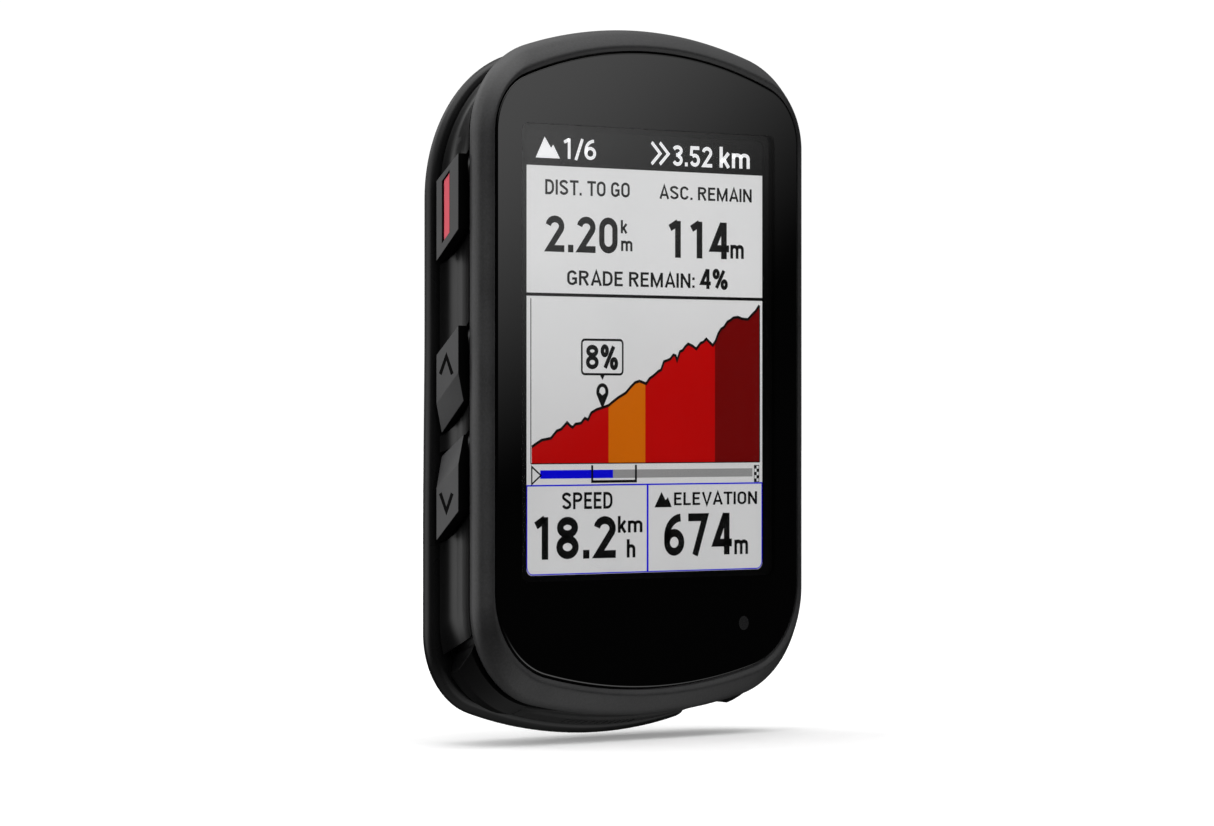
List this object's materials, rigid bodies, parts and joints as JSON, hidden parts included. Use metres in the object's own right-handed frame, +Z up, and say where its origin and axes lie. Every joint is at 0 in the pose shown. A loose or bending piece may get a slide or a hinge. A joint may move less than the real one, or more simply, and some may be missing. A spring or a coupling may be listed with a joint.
{
  "type": "cycling computer",
  "caption": "Handlebar cycling computer with a tall crowned screen, sprung keys on both sides and lower corners, a hinged charging cover and a quarter-turn mount on its back.",
  "frame": {"origin": "centre of the flat rear face of the quarter-turn mount insert", "axes": "+Z up the long side of the case, -Y the way the screen faces, +Y out of the mount towards the handlebar bracket, -X the side with the power key"},
  "size_m": [0.0574, 0.0196, 0.0847],
  "materials": {
    "bezel": "fine texture",
    "glass": "gloss",
    "adhesive": "matte",
    "lcd": "satin",
    "light_guide": "satin",
    "sheet_steel": "brushed",
    "frame": "gloss",
    "rear": "satin",
    "rubber": "matte",
    "key": "satin",
    "red": "gloss",
    "board": "satin",
    "ceramic": "satin",
    "battery": "foil",
    "foam": "matte",
    "screw": "black zinc",
    "mount": "satin",
    "membrane": "matte",
    "flex": "satin",
    "switch": "satin",
    "plunger": "satin",
    "sensor": "gloss"
  },
  "bodies": {
    "housing": {"front_bezel": "bezel", "cover_lens": "glass", "lens_adhesive": "adhesive", "lcd_panel": "lcd", "backlight": "light_guide", "display_tray": "sheet_steel", "light_sensor": "sensor", "mid_frame": "frame", "main_board": "board", "processor_shield": "sheet_steel", "radio_shield": "sheet_steel", "gnss_antenna": "ceramic", "battery": "battery", "battery_pad": "foam", "buzzer": "switch", "pressure_sensor": "sheet_steel", "display_flex": "flex", "usb_socket": "sheet_steel", "rear_cover": "rear", "housing_gasket": "rubber", "vent_membrane": "membrane", "mount_insert": "mount", "mount_screw_left": "screw", "mount_screw_right": "screw", "housing_screw_top_left": "screw", "housing_screw_top_right": "screw", "housing_screw_low_left": "screw", "housing_screw_low_right": "screw", "power_switch": "switch", "up_switch": "switch", "down_switch": "switch", "enter_switch": "switch", "back_switch": "switch", "lap_switch": "switch", "start_switch": "switch"},
    "power_key": {"power_button": "key", "power_switch_plunger": "plunger", "power_button_insert": "red"},
    "up_key": {"up_button": "key", "up_switch_plunger": "plunger"},
    "down_key": {"down_button": "key", "down_switch_plunger": "plunger"},
    "enter_key": {"enter_button": "key", "enter_switch_plunger": "plunger"},
    "back_key": {"back_button": "key", "back_switch_plunger": "plunger"},
    "lap_key": {"lap_button": "key", "lap_switch_plunger": "plunger"},
    "start_key": {"start_button": "key", "start_switch_plunger": "plunger"},
    "charge_cover": {"weather_cap": "rubber"}
  },
  "joints": [
    {"name": "power_press", "type": "slide", "parent": "housing", "child": "power_key", "axis": [1, 0, 0], "range_m": [0, 0.0006], "stiffness_N_per_m": 2500, "springref_m": -0.0004},
    {"name": "up_press", "type": "slide", "parent": "housing", "child": "up_key", "axis": [1, 0, 0], "range_m": [0, 0.0006], "stiffness_N_per_m": 2500, "springref_m": -0.0004},
    {"name": "down_press", "type": "slide", "parent": "housing", "child": "down_key", "axis": [1, 0, 0], "range_m": [0, 0.0006], "stiffness_N_per_m": 2500, "springref_m": -0.0004},
    {"name": "enter_press", "type": "slide", "parent": "housing", "child": "enter_key", "axis": [-1, 0, 0], "range_m": [0, 0.0006], "stiffness_N_per_m": 2500, "springref_m": -0.0004},
    {"name": "back_press", "type": "slide", "parent": "housing", "child": "back_key", "axis": [-1, 0, 0], "range_m": [0, 0.0006], "stiffness_N_per_m": 2500, "springref_m": -0.0004},
    {"name": "lap_press", "type": "slide", "parent": "housing", "child": "lap_key", "axis": [0.7071, 0, 0.7071], "range_m": [0, 0.0006], "stiffness_N_per_m": 2500, "springref_m": -0.0004},
    {"name": "start_press", "type": "slide", "parent": "housing", "child": "start_key", "axis": [-0.7071, 0, 0.7071], "range_m": [0, 0.0006], "stiffness_N_per_m": 2500, "springref_m": -0.0004},
    {"name": "charge_cover_hinge", "type": "hinge", "parent": "housing", "child": "charge_cover", "pos_m": [-0.0013, -0.01188, -0.04815], "axis": [1, 0, 0], "range_deg": [0, 100]}
  ]
}
